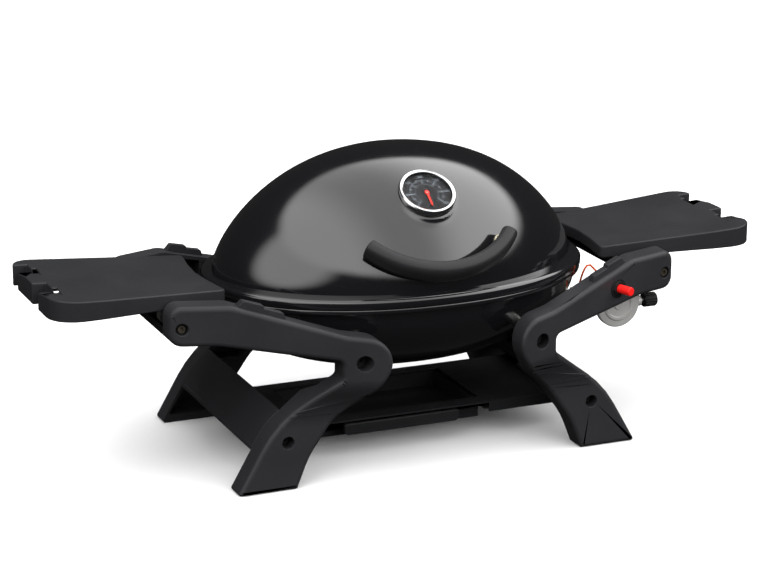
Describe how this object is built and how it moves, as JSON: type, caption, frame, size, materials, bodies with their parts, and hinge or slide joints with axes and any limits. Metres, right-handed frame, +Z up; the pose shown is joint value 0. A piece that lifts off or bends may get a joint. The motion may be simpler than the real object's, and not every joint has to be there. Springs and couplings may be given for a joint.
{
  "type": "portable gas barbecue grill",
  "caption": "Table-top gas barbecue with an oval lidded bowl, bent legs, folding side shelves, a sliding drip tray and a regulator with an igniter.",
  "frame": {"origin": "on the floor under the middle of the grill, level with the soles of the feet", "axes": "+Z up, -Y towards the front with the handle and the thermometer, +X towards the shelf beside the regulator"},
  "size_m": [0.966, 0.423, 0.386],
  "materials": {
    "black_enamel": "gloss porcelain enamel",
    "black_handle_plastic": "fine matte texture",
    "cream_plastic": "matte heat-resisting plastic",
    "zinc_steel": "zinc plated",
    "chrome": "polished",
    "dial_black": "satin printed dial",
    "clear_glass": "clear",
    "needle_red": "satin",
    "black_steel": "satin powder coat",
    "cast_iron": "matte enamelled iron",
    "stainless_steel": "drawn tube",
    "brass": "turned",
    "die_cast_zinc": "satin die casting",
    "black_plastic": "satin moulded",
    "red_plastic": "gloss moulded",
    "ceramic": "glazed ceramic",
    "black_silicone": "satin sleeve",
    "red_silicone": "satin sleeve",
    "grey_moulded_plastic": "fine grained mould texture",
    "burnished_steel": "oxidised socket screws"
  },
  "bodies": {
    "stand": {"bowl_hinge_leaves": "black_steel", "hinge_pins": "zinc_steel", "hinge_rivets": "zinc_steel", "bowl": "black_enamel", "grate_left": "cast_iron", "grate_right": "cast_iron", "burner_tube": "stainless_steel", "burner_brackets": "zinc_steel", "venturi_tube": "stainless_steel", "gas_jet": "brass", "valve_body": "die_cast_zinc", "gas_elbow": "die_cast_zinc", "regulator_housing": "die_cast_zinc", "regulator_cap": "die_cast_zinc", "regulator_bracket": "black_steel", "gas_inlet": "brass", "igniter_body": "black_plastic", "igniter_collar": "black_plastic", "igniter_nut": "black_plastic", "electrode_insulator": "ceramic", "electrode_rod": "stainless_steel", "ignition_lead": "black_silicone", "earth_lead": "red_silicone", "leg_front_left": "grey_moulded_plastic", "leg_front_right": "grey_moulded_plastic", "leg_back_left": "grey_moulded_plastic", "leg_back_right": "grey_moulded_plastic", "side_panel_left": "grey_moulded_plastic", "side_panel_right": "grey_moulded_plastic", "knee_spacers": "zinc_steel", "knee_screws": "burnished_steel", "panel_screws": "burnished_steel", "shelf_rods": "black_steel", "shelf_crossbars": "black_steel", "shelf_hinge_bolts": "burnished_steel", "bottom_plate": "black_steel", "plate_screws": "zinc_steel", "tray_runners": "zinc_steel", "bowl_screws": "brass"},
    "lid": {"lid_shell": "black_enamel", "lid_handle": "black_handle_plastic", "handle_spacers": "cream_plastic", "handle_screws": "zinc_steel", "thermometer_bezel": "chrome", "thermometer_housing": "zinc_steel", "thermometer_dial": "dial_black", "thermometer_lens": "clear_glass", "thermometer_probe": "zinc_steel", "thermometer_nut": "zinc_steel", "lid_hinge_leaves": "black_steel"},
    "needle": {"thermometer_needle": "needle_red"},
    "left_shelf": {"shelf_left": "grey_moulded_plastic", "shelf_knuckles_left": "zinc_steel"},
    "right_shelf": {"shelf_right": "grey_moulded_plastic", "shelf_knuckles_right": "zinc_steel"},
    "tray": {"drip_tray": "grey_moulded_plastic", "tray_grip": "grey_moulded_plastic"},
    "igniter_button": {"igniter_button": "red_plastic"},
    "gas_knob": {"control_knob": "black_handle_plastic", "control_spindle": "zinc_steel"}
  },
  "joints": [
    {"name": "lid_hinge", "type": "hinge", "parent": "stand", "child": "lid", "pos_m": [0, 0.196, 0.2255], "axis": [-1, 0, 0], "range_deg": [0, 100]},
    {"name": "needle_turn", "type": "hinge", "parent": "lid", "child": "needle", "pos_m": [0, -0.108, 0.3445], "axis": [0, 0.5592, -0.829], "range_deg": [0, 300], "stiffness_Nm_per_rad": 0.0002},
    {"name": "left_shelf_fold", "type": "hinge", "parent": "stand", "child": "left_shelf", "pos_m": [-0.3305, 0, 0.212], "axis": [0, -1, 0], "range_deg": [0, 90]},
    {"name": "right_shelf_fold", "type": "hinge", "parent": "stand", "child": "right_shelf", "pos_m": [0.3305, 0, 0.212], "axis": [0, 1, 0], "range_deg": [0, 90]},
    {"name": "tray_slide", "type": "slide", "parent": "stand", "child": "tray", "axis": [0, -1, 0], "range_m": [0, 0.14]},
    {"name": "igniter_press", "type": "slide", "parent": "stand", "child": "igniter_button", "axis": [-0.3191, 0.9477, 0], "range_m": [0, 0.006], "stiffness_N_per_m": 800, "springref_m": -0.004},
    {"name": "knob_turn", "type": "hinge", "parent": "stand", "child": "gas_knob", "pos_m": [0.325, -0.0985, 0.168], "axis": [1, 0, 0], "range_deg": [0, 270]}
  ]
}
